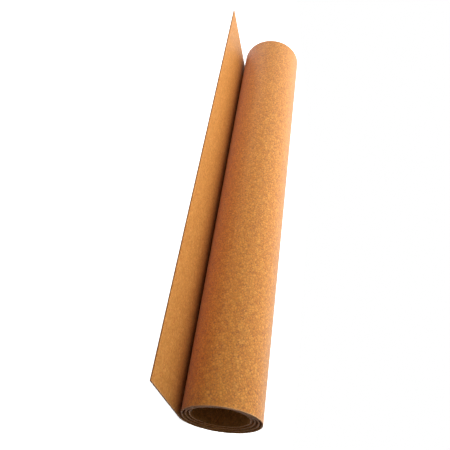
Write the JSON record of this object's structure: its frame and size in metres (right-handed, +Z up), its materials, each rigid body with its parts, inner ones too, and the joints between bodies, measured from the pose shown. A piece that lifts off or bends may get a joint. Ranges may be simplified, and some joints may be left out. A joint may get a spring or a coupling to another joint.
{
  "type": "cork underlayment roll",
  "caption": "Cork sheet wound into a hollow roll with creeping ends, its free end laid out flat along the ground.",
  "frame": {"origin": "on the ground, under the centre of the bounding box", "axes": "+X along the roll towards the recessed end, -Y towards the free edge of the flat tail, +Z up from the ground"},
  "size_m": [1.2264, 0.304, 0.186],
  "materials": {
    "cork": "matt"
  },
  "bodies": {
    "root": {"cork_sheet": "cork"}
  },
  "joints": []
}
